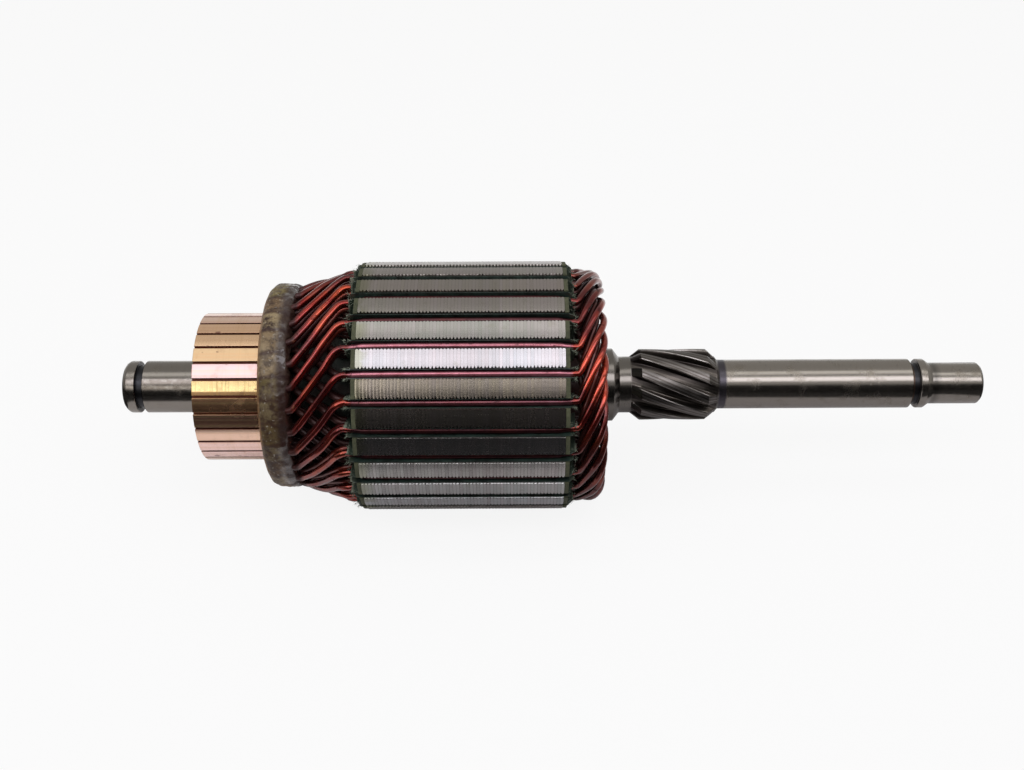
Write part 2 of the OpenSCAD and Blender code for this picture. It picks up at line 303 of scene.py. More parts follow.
def shaft_steel():
    """Ground journals, dark ring grooves, a blackened spline with worn edges, varnished core;
    painted shade on the core, the neck, the journal's highlight and the tooth flanks, and a
    painted highlight on the first tooth tips.
    """
    f = Finish("shaft_steel_turned")
    x, turn, r = f.axes()
    rings = f.noise(1.0, 2, 0.6, f.stretched(9000, 30))
    wide_rings = f.noise(1.0, 2, 0.5, f.stretched(900, 12))
    stain = f.noise(210, 4, 0.6).above(0.60, 0.16)
    pits = f.noise(1500, 3, 0.6).above(0.69, 0.03)
    head = 1 - x.above(TRACK_X0, 1.0)
    # Brown blotches only on the turns where the highlight falls on the commutator-end journal:
    # painted shade that dulls the highlight
    brown = head * between(turn, math.radians(112), math.radians(142), 0.2)
    brown = brown * f.noise(900, 4, 0.65, f.stretched(0.6, 1.0)).above(0.45, 0.14)
    fillet = between(x, STOP_X1 + 1.3, STOP_X1 + 3.0, 1.6)
    # Painted shade on the core's end under the coil noses, on its shoulder and in the neck before
    # the spline
    collar_and_neck_shade = between(x, CORE_X1 - 5.0, SPLINE_X0 + 0.3, 0.8)

    # On the spline: the share of a tooth's pitch from its middle, and lines along the tooth
    soot = f.noise(340, 4, 0.6)
    tooth = (turn - spline_turn(x)) * (SPLINE_TEETH / TAU)
    share = (tooth + 0.5).fraction() - 0.5
    in_spline = between(x, SPLINE_X0 + 0.1, SPLINE_X1 + 1.7, 0.5)
    line = f.cell((share * 22).floor(), 4.0)
    land = between(share, -0.235, 0.235, 0.02)
    before_end = 1 - x.above(SPLINE_X1 - 0.5, 0.4)
    shaded = (1 - share.above(-0.25, 0.03)) * before_end
    worn_edge = between(share, -0.250, -0.205, 0.02) + between(share, 0.215, 0.250, 0.02) * 0.5
    worn_edge = worn_edge * r.above(8.45, 0.3) * (soot * 1.9 - 0.45).clamp()
    # Paler tooth tips where the spline starts: painted highlight
    entry_highlight = (1 - x.above(SPLINE_X0 + 2.4, 0.3)) * land
    oxide = f.layers(
        f.mix(soot * 0.6 + line * 0.4, (0.052, 0.043, 0.037), (0.165, 0.147, 0.130)),
        (land * (line * 1.4 - 0.3).clamp() * 0.5, (0.26, 0.245, 0.24)),
        (shaded * 0.55, (0.016, 0.012, 0.014)),
        (worn_edge, (0.66, 0.62, 0.59)),
        (entry_highlight * 0.6, (0.26, 0.245, 0.235)),
        (x.above(SPLINE_X1 - 0.2, 0.4), (0.085, 0.078, 0.090)))

    grooves = between(x, GROOVE_C_X0 - 0.05, GROOVE_C_X1) * (1 - r.above(6.3, 0.2))
    grooves = grooves + between(x, GROOVE_D_X0 - 0.05, GROOVE_D_X1) * (1 - r.above(5.95, 0.2))
    rusty = between(x, GROOVE_D_X0 - 0.1, GROOVE_D_X0 + 0.55, 0.3)
    # Varnish on the core under the winding; its near-black colour is also painted shade between
    # the wires
    varnished = between(x, BAND_X1 - 2, CORE_X1 - 4.0, 2.0)
    colour = f.layers(
        (0.290, 0.265, 0.232),
        (stain * 0.5, (0.190, 0.160, 0.120)),
        (wide_rings * 0.30, (0.345, 0.315, 0.300)),
        (pits * 0.6, (0.06, 0.055, 0.05)),
        # Painted shade over the journal's highlight
        (brown * 0.5, (0.13, 0.10, 0.075)),
        # Darker: the drive journal's foot next to its step, the commutator-end journal as a whole,
        # and the core's end, shoulder and neck with painted shade
        (fillet * 0.6 + collar_and_neck_shade * 0.5 + head * 0.28, (0.085, 0.080, 0.075)),
        (in_spline, oxide),
        (grooves * 0.93, f.mix(rusty, (0.022, 0.024, 0.030), (0.075, 0.045, 0.030))),
        (varnished, (0.020, 0.006, 0.005)))
    f.set(Base_Color=colour, Metallic=1 - varnished,
          Roughness=(0.145 + 0.05 * rings + 0.06 * wide_rings + 0.12 * stain
                     + 0.14 * varnished + 0.13 * in_spline + 0.15 * grooves),
          Normal=f.bump(rings * 0.5 + wide_rings * 0.7 + soot * in_spline * 2.5, 0.003))
    return f.material


# Tint of single teeth, counted from the underside up the front: partly their own tone, partly
# painted light and shade, with a painted highlight on tooth 9, painted shade on teeth 7 and 8 and
# painted light on teeth 4 to 6
TOOTH_TINT_AND_LIGHT = {4: (0.43, 0.45, 0.46), 5: (0.41, 0.42, 0.41), 6: (0.44, 0.44, 0.42),
              7: (0.26, 0.26, 0.26), 8: (0.31, 0.28, 0.24), 9: (0.53, 0.46, 0.36),
              10: (0.34, 0.34, 0.35), 11: (0.31, 0.31, 0.28), 12: (0.35, 0.33, 0.29),
              13: (0.34, 0.31, 0.27), 14: (0.27, 0.28, 0.27), 15: (0.30, 0.30, 0.29)}
# The stack is paler past this length, where the turning tool was set anew
TOOL_STEP = 33.0


def lamination_steel():
    """Sheet edges turned on the outside: each sheet has its own tone, each tooth its tint, partly
    painted light and shade.
    """
    f = Finish("lamination_edges")
    x, turn, r = f.axes()
    along = (x - STACK_X0) / SHEET_T
    sheet = along.floor()
    tooth = (turn / PITCH).floor()
    seam = (along.fraction() - 0.5).absolute().above(0.455, 0.08)
    tone = f.cell(sheet) * 0.5 + f.cell(sheet + tooth * 61, 7.5) * 0.5
    # Turns 52° to 92°, the lower front teeth, where sheet tones and seams are drawn stronger
    lower_front_teeth = near_turn(turn, 72, 20, 8)
    blush = f.noise(55, 2, 0.5, f.stretched(1.0, 3.0)).above(0.52, 0.25)
    fading = ((x - STACK_X0) / TOOL_STEP) * (1 - x.above(STACK_X0 + TOOL_STEP, 0.4))
    grime = f.noise(420, 4, 0.6).above(0.64, 0.10)
    olive_wash = (1 - x.above(STACK_X0 + 2.2, 2.4)) * f.noise(260, 3).above(0.44, 0.12)
    inside = 1 - r.above(STACK_R - 0.30, 0.2)
    scratch = f.noise(1.0, 2, 0.5, f.stretched(60, 4000))
    # Per-tooth colours, partly painted light and shade
    tinted_and_lit = f.layers((0.372, 0.355, 0.321),
                      *((near(tooth, number), tint) for number, tint in TOOTH_TINT_AND_LIGHT.items()))
    colour = f.layers(
        tinted_and_lit,
        ((tone - 0.35).clamp() * (0.30 + 0.5 * lower_front_teeth), (0.17, 0.16, 0.16)),
        (f.cell(sheet, 21.0) * 0.5, (0.385, 0.345, 0.350)),
        (blush * 0.25, (0.38, 0.31, 0.31)),
        (fading * 0.22, (0.16, 0.15, 0.14)),
        (grime * 0.22, (0.20, 0.19, 0.13)),
        (olive_wash * 0.5, (0.19, 0.20, 0.10)),
        (seam * (0.42 + 0.4 * lower_front_teeth), (0.10, 0.09, 0.08)),
        (inside * 0.8, (0.06, 0.07, 0.06)))
    f.set(Base_Color=colour, Metallic=1.0,
          Roughness=0.215 + 0.03 * tone + 0.06 * scratch + 0.25 * inside,
          Normal=f.bump(scratch + f.noise(2500, 2) * 0.5, 0.005))
    return f.material


# How bright the upper wire is painted in single slots where it catches the light: painted
# highlights there and painted shade in the others
SLOT_LIGHT = {9: 0.30, 10: 1.0, 11: 0.9}
DARK_SLOT_LIGHT = 0.06


def red_enamel():
    """Copper wire under clear red enamel: bright on the outside and darker further in with painted
    shade; light and shade are also painted by slot and by side.
    """
    f = Finish("red_wire_enamel")
    x, turn, r = f.axes()
    patch = f.noise(130, 2, 0.5)
    fine = f.noise(600, 2, 0.5)
    at_noses = x.above(FACE_D, 1.0)
    # Brighter orange-red on the noses facing the front: painted light
    front = near_turn(turn, 126, 13, 9) * at_noses * patch.above(0.44, 0.12)
    # Lower side of the leads and of the noses darker and greyer: painted shade
    low_lead_shade = (1 - past_turn(turn, 98, 12)) * (1 - x.above(FACE_C, 1.0))
    low_nose_shade = (1 - past_turn(turn, 100, 12)) * x.above(FACE_D + 1, 1.0)
    worn = f.noise(480, 3, 0.6).above(0.70, 0.06)

    # Depth under the cone of the upper leads, below which wires get painted shade, and the wires'
    # feet at the resin
    cone_r = LEAD_END_R + (x - BAND_X1) * ((WIRE_R[0] - LEAD_END_R) / (FACE_C - BAND_X1 - 3))
    depth = cone_r.math("MINIMUM", WIRE_R[0]) - r
    deep = depth.above(1.0, 1.1) * (1 - x.above(NOSE_X + 1.0, 2.0) * 0.7)
    foot = 1 - x.above(BAND_X1 + 1.5, 1.3)
    dim = (deep + foot).clamp()

    in_slot = between(x, FACE_C - 0.5, FACE_D + 0.5, 1.0)
    slot = (turn / PITCH + 0.5).floor()
    lit = DARK_SLOT_LIGHT
    for number, light in SLOT_LIGHT.items():
        lit = near(slot, number) * (light - DARK_SLOT_LIGHT) + lit
    pink = f.mix(fine, (0.26, 0.055, 0.070), (0.62, 0.24, 0.31))
    # Darker between the outer wires of the noses: painted shade
    valley_shade = (1 - r.above(WIRE_R[0] + 0.28, 0.5)) * between(x, FACE_D + 1.5, NOSE_X + 1.6, 1.2)
    # Darker and less glossy top of the noses: painted shade
    top = past_turn(turn, 165, 14)
    dirt = f.noise(620, 4, 0.6).above(0.64, 0.08)
    enamel = f.ramp(patch, [(0.34, (0.115, 0.008, 0.008)), (0.50, (0.235, 0.016, 0.011)),
                            (0.66, (0.390, 0.052, 0.018))])
    colour = f.layers(
        enamel,
        (front * 0.8, (0.52, 0.060, 0.024)),
        (low_lead_shade * 0.4, (0.085, 0.016, 0.013)),
        (low_nose_shade * 0.5, (0.060, 0.030, 0.026)),
        (worn * 0.5, (0.52, 0.20, 0.10)),
        # Painted shade on the wires under the outer ones
        (deep * 0.90, (0.027, 0.010, 0.009)),
        (foot * 0.9, (0.030, 0.009, 0.008)),
        (in_slot * 0.9, f.mix(lit, (0.020, 0.006, 0.007), pink)),
        (valley_shade * 0.72, (0.034, 0.010, 0.009)),
        (top * at_noses * 0.5, (0.055, 0.025, 0.022)),
        (dirt * 0.6, (0.020, 0.008, 0.007)))
    gloss = (0.75 - 0.4 * dirt) * (1 - 0.85 * dim) * (1 - 0.5 * top)
    slot_gloss = 0.3 + 0.7 * (1 - in_slot * (1 - lit))
    f.set(Base_Color=colour, Metallic=0.9 - 0.5 * dim,
          Roughness=0.16 + 0.08 * fine + 0.2 * dirt + 0.12 * in_slot + 0.25 * dim,
          Coat_Weight=gloss * slot_gloss, Coat_Roughness=0.05, Coat_IOR=1.5,
          Normal=f.bump(fine, 0.004))
    return f.material


# Tarnish of single bars, and how dull it makes them: golden, rose, tan or brown; their brightness
# is also painted light and shade, dark on bars 7 and 8 and dimmed on bar 10
BAR_TARNISH_AND_LIGHT = {4: ((0.97, 0.70, 0.66), 0.0), 5: ((0.97, 0.69, 0.63), 0.0),
               6: ((0.90, 0.62, 0.48), 0.0), 7: ((0.62, 0.33, 0.25), 0.2),
               8: ((0.72, 0.41, 0.22), 0.2), 9: ((0.92, 0.70, 0.33), 0.35),
               10: ((0.62, 0.445, 0.445), 0.9), 11: ((0.68, 0.475, 0.27), 0.8),
               12: ((0.90, 0.60, 0.36), 0.3), 13: ((0.88, 0.58, 0.37), 0.0),
               14: ((1.0, 0.73, 0.60), 0.0), 15: ((0.97, 0.76, 0.69), 0.0),
               2: ((0.86, 0.64, 0.30), 0.8), 20: ((0.74, 0.52, 0.50), 0.7),
               23: ((0.86, 0.62, 0.30), 0.8)}
# The most golden bar, and the middle of the dusky pair, bars 7 and 8, whose darkness is partly
# painted shade
GOLDEN_BAR = 9
DUSKY_PAIR = 7.5


def track_copper():
    """Turned copper, each bar with its own tarnish: some golden, some pinkish, with light and
    shade partly painted into the bars' colours.
    """
    f = Finish("commutator_copper")
    turn = f.axes()[1]
    bar = (turn / PITCH + SLOTS).floor() - SLOTS
    bar = bar + (1 - bar.above(-0.5, 0.1)) * SLOTS
    in_bar = (turn / PITCH).fraction()
    rings = f.noise(1.0, 3, 0.6, f.stretched(5200, 60))
    bands = f.noise(1.0, 2, 0.5, f.stretched(700, 18)).above(0.62, 0.12)
    # Strips 0.42 and 0.30 mm wide that run along the bars
    wide_strip = f.cell((turn * (TRACK_R / 0.42)).floor(), 5.0)
    strip = f.cell((turn * (TRACK_R / 0.30)).floor(), 9.0)
    tarnish = f.noise(240, 4, 0.6).above(0.60, 0.14)
    to_side = (0.5 - (in_bar - 0.5).absolute()) * (PITCH * TRACK_R)
    flank = 1 - to_side.above(BAR_GAP / 2 + 0.09, 0.06)
    streaks = f.noise(1.0, 2, 0.6, f.stretched(2600, 40)).above(0.60, 0.12)
    golden = near(bar, GOLDEN_BAR)
    dusky = near(bar, DUSKY_PAIR, 1.0)
    scuff = f.noise(1.0, 2, 0.4, f.stretched(330, 700)).above(0.74, 0.02)
    colour = f.ramp(f.cell(bar, 3.0), [(0.0, (0.92, 0.64, 0.50)), (0.5, (0.88, 0.59, 0.42)),
                                       (1.0, (0.95, 0.69, 0.57))])
    dull = 0.0
    for number, (shade, dullness) in BAR_TARNISH_AND_LIGHT.items():
        this_bar = near(bar, number)
        colour = f.mix(this_bar * 0.92, colour, shade)
        dull = this_bar * dullness + dull
    colour = f.layers(
        colour,
        ((wide_strip * 1.5 - 0.6).clamp() * 0.35, (0.74, 0.42, 0.22)),
        (bands * 0.22, (0.80, 0.52, 0.28)),
        (tarnish * 0.18, (0.42, 0.22, 0.12)),
        (flank * 0.85, (0.16, 0.05, 0.03)),
        # Lower share of the golden bar darker: painted shade where the reflection of the light
        # ends
        (golden * (1 - in_bar.above(0.30, 0.06)) * 0.85, (0.17, 0.075, 0.035)),
        (dusky * (strip * 1.6 - 0.7).clamp() * 0.7, (0.80, 0.62, 0.30)),
        (dusky * (0.55 - strip).clamp() * 1.2, (0.34, 0.17, 0.10)),
        (streaks * (0.08 + golden * 0.45), (0.40, 0.24, 0.08)),
        (scuff * 0.7, (0.16, 0.06, 0.05)))
    f.set(Base_Color=colour, Metallic=0.955,
          Roughness=0.16 + 0.05 * rings + 0.10 * tarnish + 0.20 * dull,
          Normal=f.bump(rings, 0.003))
    return f.material


def band_resin():
    """Resin run over the risers, which show through it as olive, brown and beige blocks; the lower
    front is darkened with painted shade.
    """
    f = Finish("riser_band_resin")
    x, turn, _ = f.axes()
    wide = f.noise(150, 3, 0.55)
    mottle = f.noise(520, 4, 0.68)
    along = (turn / PITCH) + (wide - 0.5) * 0.45
    gap = (along.fraction() - 0.5).absolute().above(0.42, 0.10)
    block = f.ramp(f.cell(along.floor(), 11.0),
                   [(0.0, (0.150, 0.118, 0.040)), (0.25, (0.290, 0.220, 0.120)),
                    (0.5, (0.120, 0.060, 0.026)), (0.75, (0.180, 0.150, 0.058)),
                    (1.0, (0.340, 0.275, 0.170))])
    patches = f.ramp(mottle, [(0.38, (0, 0, 0)), (0.60, (1, 1, 1))])
    # Darker brown on the lower front of the band: painted shade
    lower_front_shade = near_turn(turn, 88, 36, 30)
    pale = f.noise(95, 3, 0.55, f.stretched(1.0, 0.6)).above(0.50, 0.14) * (1 - lower_front_shade)
    beige = f.mix(mottle, (0.20, 0.145, 0.075), (0.44, 0.35, 0.22))
    brown = f.mix(mottle, (0.018, 0.006, 0.003), (0.078, 0.036, 0.012))
    copper_edge = (1 - x.above(BAND_X0 + 1.1, 0.5)) * f.noise(380, 3).above(0.42, 0.12)
    specks = f.noise(1300, 2).above(0.68, 0.05)
    back = (x + mottle * 2.8).above(BAND_X1 - 0.9, 1.2)
    wet = x.above(BAND_X1 - 3.2, 1.2) * f.noise(330, 2).above(0.50, 0.12)
    colour = f.layers(
        (0.035, 0.017, 0.010),
        (patches, block),
        (pale * 0.6, beige),
        (gap * 0.75, (0.040, 0.016, 0.012)),
        (lower_front_shade * 0.62, brown),
        (copper_edge * 0.75, (0.26, 0.135, 0.055)),
        (specks * 0.35, (0.48, 0.44, 0.36)),
        (back * 0.9, (0.024, 0.008, 0.007)))
    f.set(Base_Color=colour, Metallic=0.0, Roughness=0.42 + 0.25 * mottle - 0.2 * wet,
          Coat_Weight=(0.12 + wet).clamp(), Coat_Roughness=0.06, Specular_IOR_Level=0.3,
          Normal=f.bump(mottle + f.noise(1500, 3) * 0.4 + wide * 1.5, 0.34))
    return f.material


def fibre(name, dark, light):
    """Pressed insulating fibre with a felted surface."""
    f = Finish(name)
    wisps = f.noise(1500, 4, 0.7)
    blots = f.noise(230, 3, 0.6)
    colour = f.mix((wisps * 0.5 + blots * 0.5).above(0.5, 0.35), dark, light)
    f.set(Base_Color=colour, Roughness=0.8, Normal=f.bump(wisps, 0.05))
    return f.material


def liner_paper():
    """Dark green varnished paper whose torn rims show pale fibres."""
    f = Finish("slot_liner_paper")
    x, _, r = f.axes()
    wisps = f.noise(1900, 4, 0.7)
    beyond = (FACE_C - x).math("MAXIMUM", x - FACE_D)
    rim = (beyond + wisps * 0.9).above(CUFF_LEN * 0.9 + 0.3, 0.4) * r.above(STACK_R - 4.0, 1.5)
    colour = f.layers(
        (0.009, 0.015, 0.012),
        (f.noise(420, 4, 0.65).above(0.5, 0.3), (0.027, 0.050, 0.040)),
        (beyond.above(0.1, 0.3) * 0.7,
         f.mix(wisps, (0.008, 0.014, 0.010), (0.070, 0.095, 0.065))),
        (rim * 0.85, f.mix(wisps, (0.08, 0.10, 0.06), (0.40, 0.42, 0.33))))
    f.set(Base_Color=colour, Roughness=0.42 + 0.4 * rim, Coat_Weight=0.25 * (1 - rim),
          Normal=f.bump(wisps, 0.04))
    return f.material


def sleeve_paper():
    """Black-green varnished paper wound under the leads; its near-black colour is partly painted
    shade between the leads.
    """
    f = Finish("lead_sleeve_paper")
    wisps = f.noise(700, 4, 0.65)
    runs = f.noise(160, 3, 0.6).above(0.52, 0.2)
    colour = f.layers(
        (0.008, 0.011, 0.009),
        (wisps, (0.024, 0.034, 0.025)),
        (runs * 0.7, (0.030, 0.011, 0.009)))
    f.set(Base_Color=colour, Roughness=0.5 + 0.2 * wisps, Specular_IOR_Level=0.3,
          Normal=f.bump(wisps, 0.08))
    return f.material


def plain_finish(name, colour, metallic, rough):
    """One colour with a fine grain."""
    f = Finish(name)
    grain = f.noise(800, 3)
    shade = f.mix(grain, tuple(0.75 * c for c in colour), tuple(min(1, 1.15 * c) for c in colour))
    f.set(Base_Color=shade, Metallic=metallic, Roughness=rough + 0.1 * grain,
          Normal=f.bump(grain, 0.01))
    return f.material


# ---------------------------------------------------------------- shaft

CENTRE_DEPTH = 5.0
CENTRE_R = 1.0
CENTRE_MOUTH_R = 2.0
JOURNAL_C_R = 6.5
SEAT_R = 7.1
CORE_R = 9.1
NECK_R = 7.05
SLIDE_R = 6.15
JOURNAL_D_R = 5.15
GROOVE_C_R = 5.45
GROOVE_D_R = 5.2

SPLINE_TEETH = 10
SPLINE_LEAD = 128.0
SPLINE_PHASE = math.radians(-119)
SPLINE_TOP_R = 8.9
SPLINE_RISE = 2.55
SPLINE_RUNOUT = 2.2

CORE_X1 = FACE_D + 11.8
NECK_X0 = CORE_X1 + 1.6
SPLINE_X0 = NECK_X0 + 2.65
SPLINE_X1 = SPLINE_X0 + 22.05
SPLINE_END = SPLINE_X1 - 0.75
GROOVE_C_X0 = SHAFT_X0 + 3.2
GROOVE_C_X1 = GROOVE_C_X0 + 1.85
GROOVE_D_X0 = SPLINE_X1 + 48.0
GROOVE_D_X1 = GROOVE_D_X0 + 1.95
STOP_X1 = GROOVE_D_X1 + 1.65


def centre_hole(x, way):
    """Stations and radii of a centre-drill hole, from its bottom out to the end face at x."""
    return [(x + way * depth, r) for depth, r in
            ((CENTRE_DEPTH, 0.02), (CENTRE_DEPTH - 0.1, CENTRE_R), (1.7, CENTRE_R),
             (0.02, CENTRE_MOUTH_R), (0.0, CENTRE_MOUTH_R + 0.1))]


def groove_floor(x0, x1, r):
    return [(x0, r + 0.05), (x0 + 0.05, r), (x1 - 0.05, r), (x1, r + 0.05)]


def shaft_profile():
    """Stations and radii of the turned shaft, with a small break on each edge."""
    c = 0.1
    return [
        *centre_hole(SHAFT_X0, 1), (SHAFT_X0, JOURNAL_C_R - 1.1 - c),
        (SHAFT_X0 + 0.05, JOURNAL_C_R - 1.02), (SHAFT_X0 + 0.45, JOURNAL_C_R - 0.48),
        (SHAFT_X0 + 1.0, JOURNAL_C_R - 0.08), (SHAFT_X0 + 1.3, JOURNAL_C_R),
        (GROOVE_C_X0 - c, JOURNAL_C_R), (GROOVE_C_X0, JOURNAL_C_R - c),
        *groove_floor(GROOVE_C_X0, GROOVE_C_X1, GROOVE_C_R),
        (GROOVE_C_X1, JOURNAL_C_R - 0.15), (GROOVE_C_X1 + 0.15, JOURNAL_C_R),
        (TRACK_X0 + 0.5, JOURNAL_C_R), (TRACK_X0 + 0.5, SEAT_R), (BAND_X1 + 0.015, SEAT_R),
        (BAND_X1 + 0.015, CORE_R - c), (BAND_X1 + c, CORE_R), (FACE_C, CORE_R),
        (FACE_D, CORE_R), (CORE_X1 - 0.05, CORE_R), (CORE_X1 + c, CORE_R - c),
        (NECK_X0 - c, NECK_R + c), (NECK_X0 + 0.15, NECK_R), (SPLINE_X0, NECK_R),
        (SPLINE_END, NECK_R), (SPLINE_X1 - 0.1, SLIDE_R + 0.12), (SPLINE_X1 + 0.15, SLIDE_R),
        (GROOVE_D_X0 - 0.15, SLIDE_R), (GROOVE_D_X0, SLIDE_R - 0.15),
        *groove_floor(GROOVE_D_X0, GROOVE_D_X1, GROOVE_D_R),
        (GROOVE_D_X1, SLIDE_R - 0.15), (GROOVE_D_X1 + 0.15, SLIDE_R), (STOP_X1 - 0.05, SLIDE_R),
        (STOP_X1 + 0.1, SLIDE_R - 0.07), (STOP_X1 + 1.3, JOURNAL_D_R + 0.07),
        (STOP_X1 + 1.55, JOURNAL_D_R), (SHAFT_X1 - 0.8, JOURNAL_D_R),
        (SHAFT_X1 - 0.62, JOURNAL_D_R - 0.06), (SHAFT_X1 - 0.06, JOURNAL_D_R - 0.62),
        (SHAFT_X1, JOURNAL_D_R - 0.75), *centre_hole(SHAFT_X1, -1)[::-1]]


# Share of a spline tooth's height at shares of the tooth pitch, counted from its middle
TOOTH_SECTION = [(-0.50, 0.0), (-0.40, 0.0), (-0.31, 0.0), (-0.276, 0.05), (-0.254, 0.28),
                 (-0.244, 0.72), (-0.230, 0.90), (-0.200, 0.965), (-0.10, 0.99), (0.0, 1.0),
                 (0.10, 0.99), (0.200, 0.965), (0.230, 0.90), (0.244, 0.72), (0.254, 0.28),
                 (0.276, 0.05), (0.31, 0.0), (0.40, 0.0)]


def spline_turn(x):
    """Turn of a spline tooth's middle at station x, which may be a shader value."""
    middle = (SPLINE_X0 + SPLINE_X1) / 2
    return (x - middle) * (-TAU / SPLINE_LEAD) - SPLINE_PHASE


def spline_top(x):
    """Radius over the teeth, which rise at one end and run out at the other."""
    rise = min(1, (x - SPLINE_X0) / SPLINE_RISE, (SPLINE_END - x) / SPLINE_RUNOUT)
    return lerp(NECK_R - 0.15, SPLINE_TOP_R, rise)


def shaft_ring(x, r, toothed):
    turn = spline_turn(min(max(x, SPLINE_X0), SPLINE_END))
    top = max(spline_top(x), r) if toothed else r
    return [spot(x, lerp(r, top, height), turn + TAU * (k + share) / SPLINE_TEETH)
            for k in range(SPLINE_TEETH) for share, height in TOOTH_SECTION]


def build_shaft(finish):
    """The turned shaft with its teeth: rings lie close where they rise and run out."""
    length = SPLINE_END - SPLINE_X0
    marks = [0.16, 0.5, 1.0, 1.7, 2.3, 2.62]
    marks += [lerp(2.9, length - 2.5, i / 18) for i in range(19)]
    marks += [length - m for m in (2.25, 2.0, 1.4, 0.8, 0.3)]
    rings = []
    for x, r in shaft_profile():
        if x == SPLINE_END:
            rings += [shaft_ring(SPLINE_X0 + m, NECK_R, True) for m in marks]
        rings.append(shaft_ring(x, r, False))
    make_piece("shaft_turned", loft(rings), finish, ["shaft"], sharp=28)


# ---------------------------------------------------------------- laminations

def tooth_points(k, cut_low, cut_high, wall, lift):
    """Radii and turns over the tooth that follows slot k, with its two corners cut or worn."""
    half = SLOT_W / 2 + wall
    r_top = STACK_R + lift

    def side(cut):
        return [(half, SLOT_FLOOR_R), (half, STACK_R - 1.2), (half, r_top - cut * 1.1),
                (half + cut * 0.9, r_top - cut * 0.12)]

    low = [(math.hypot(offset, r), k * PITCH + math.atan2(offset, r))
           for offset, r in side(cut_low)]
    high = [(math.hypot(offset, r), (k + 1) * PITCH - math.atan2(offset, r))
            for offset, r in side(cut_high)[::-1]]
    top0 = low[-1][1] + 0.25 / STACK_R
    top1 = (k + 1) * PITCH - math.atan2(half + cut_high * 0.9, r_top) - 0.2 / STACK_R
    return low + [(r_top, lerp(top0, top1, u)) for u in (0.0, 0.25, 0.5, 0.75, 1.0)] + high


def build_laminations(finish):
    """Sixty sheets whose corners were burred one by one when the stack was turned."""
    rings = []
    for sheet in range(SHEETS + 1):
        x = STACK_X0 + sheet * SHEET_T
        seam = [tooth_points(k, 0.55 + 0.2 * random.random(), 0.30, 0.03, -0.04)
                for k in range(SLOTS)]
        rings.append([spot(x, r, turn) for tooth in seam for r, turn in tooth])
        if sheet == SHEETS:
            break
        lift = random.uniform(-0.012, 0.0)
        drawn = [(0.06 + 0.16 * random.random() ** 2, 0.05 + 0.06 * random.random(),
                  random.uniform(-0.03, 0.03)) for _ in range(SLOTS)]
        teeth = [tooth_points(k, *cuts_and_wall, lift) for k, cuts_and_wall in enumerate(drawn)]
        for share in (0.32, 0.68):
            rings.append([spot(x + share * SHEET_T, r, turn)
                          for tooth in teeth for r, turn in tooth])
    make_piece("lamination_sheets", loft(rings), finish,
               ["lamination_stack"], sharp=50)


# ---------------------------------------------------------------- winding

# Shares of a lead over which it curves: wide at the slot, short at the bar
LEAD_CURVES = (0.26, 0.08)
# Share of a lead that stays level before it drops to its riser
LEAD_LEVEL = 0.14
# Length in mm over which a coil's nose curves where it leaves and enters a slot
NOSE_CURVE = 0.65
# Middle radius of the wires, and how little they stray within the slots
MIDDLE_WIRE_R = 26.0
STRAY_IN_SLOT = 0.15
WIRE_END_X = BAND_X1 - 1.6


def ease(u, start, end):
    """Share of the way covered at share u, with a curve over the start and over the end."""
    speed = 1 / (1 - (start + end) / 2)
    if u < start:
        return speed * u * u / (2 * start)
    if u > 1 - end:
        return 1 - speed * (1 - u) ** 2 / (2 * end)
    return speed * (u - start / 2)


def lead_points(r, turn, steps):
    """Course of a wire from its slot down to its riser."""
    x0 = FACE_C - CUFF_LEN - CUFF_CLEAR
    x1 = BAND_X1 + CUFF_CLEAR
    drop = WIRE_R[0] - LEAD_END_R
    points = []
    for i in range(steps + 1):
        u = i / steps
        v = max(0.0, (u - LEAD_LEVEL) / (1 - LEAD_LEVEL))
        points.append((lerp(x0, x1, u), r - drop * v * (1.35 - 0.35 * v),
                       turn * ease(u, *LEAD_CURVES)))
    return points


def nose_points(r0, r1, steps):
    """Course of a wire round the drive end, from the upper side's slot to the lower side's."""
    h = (r0 - r1) / 2
    x0 = FACE_D + CUFF_LEN + CUFF_CLEAR
    a = NOSE_X - x0
    total = 2 * a + math.pi * h
    points = []
    for i in range(steps + 1):
        s = total * i / steps
        turn = COIL_SPAN * ease(s / total, NOSE_CURVE / total, NOSE_CURVE / total)
        if s < a:
            points.append((x0 + s, r0, turn))
        elif s > total - a:
            points.append((x0 + total - s, r1, turn))
        else:
            q = (s - a) / h
            points.append((NOSE_X + h * math.sin(q), r1 + h * (1 + math.cos(q)), turn))
    return points


def wire_mesh(course, sides, wobble):
    """Round wire along a course of (station, radius, turn), with a slow wobble in mm."""
    seed = random.uniform(0, 100)
    path = []
    for i, (x, r, turn) in enumerate(course):
        drift = noise.noise_vector(Vector((i * 0.16, seed, 0.0)))
        stray = wobble * (1.0 if x < FACE_C - 2.5 or x > FACE_D + 2.5 else STRAY_IN_SLOT)
        path.append((x + stray * drift.x * 0.5, r + stray * drift.y,
                     turn + stray * drift.z / MIDDLE_WIRE_R))
    spots = [spot(*p) for p in path]
    rings = []
    for i, here in enumerate(spots):
        way = (spots[min(i + 1, len(spots) - 1)] - spots[max(i - 1, 0)]).normalized()
        out = spot(0, 1, path[i][2]).normalized()
        up = (out - out.dot(way) * way).normalized()
        side = way.cross(up)
        rings.append([here + WIRE_D / 2 * MM * (math.cos(a) * up + math.sin(a) * side)
                      for a in (TAU * j / sides for j in range(sides))])
    return loft(rings)


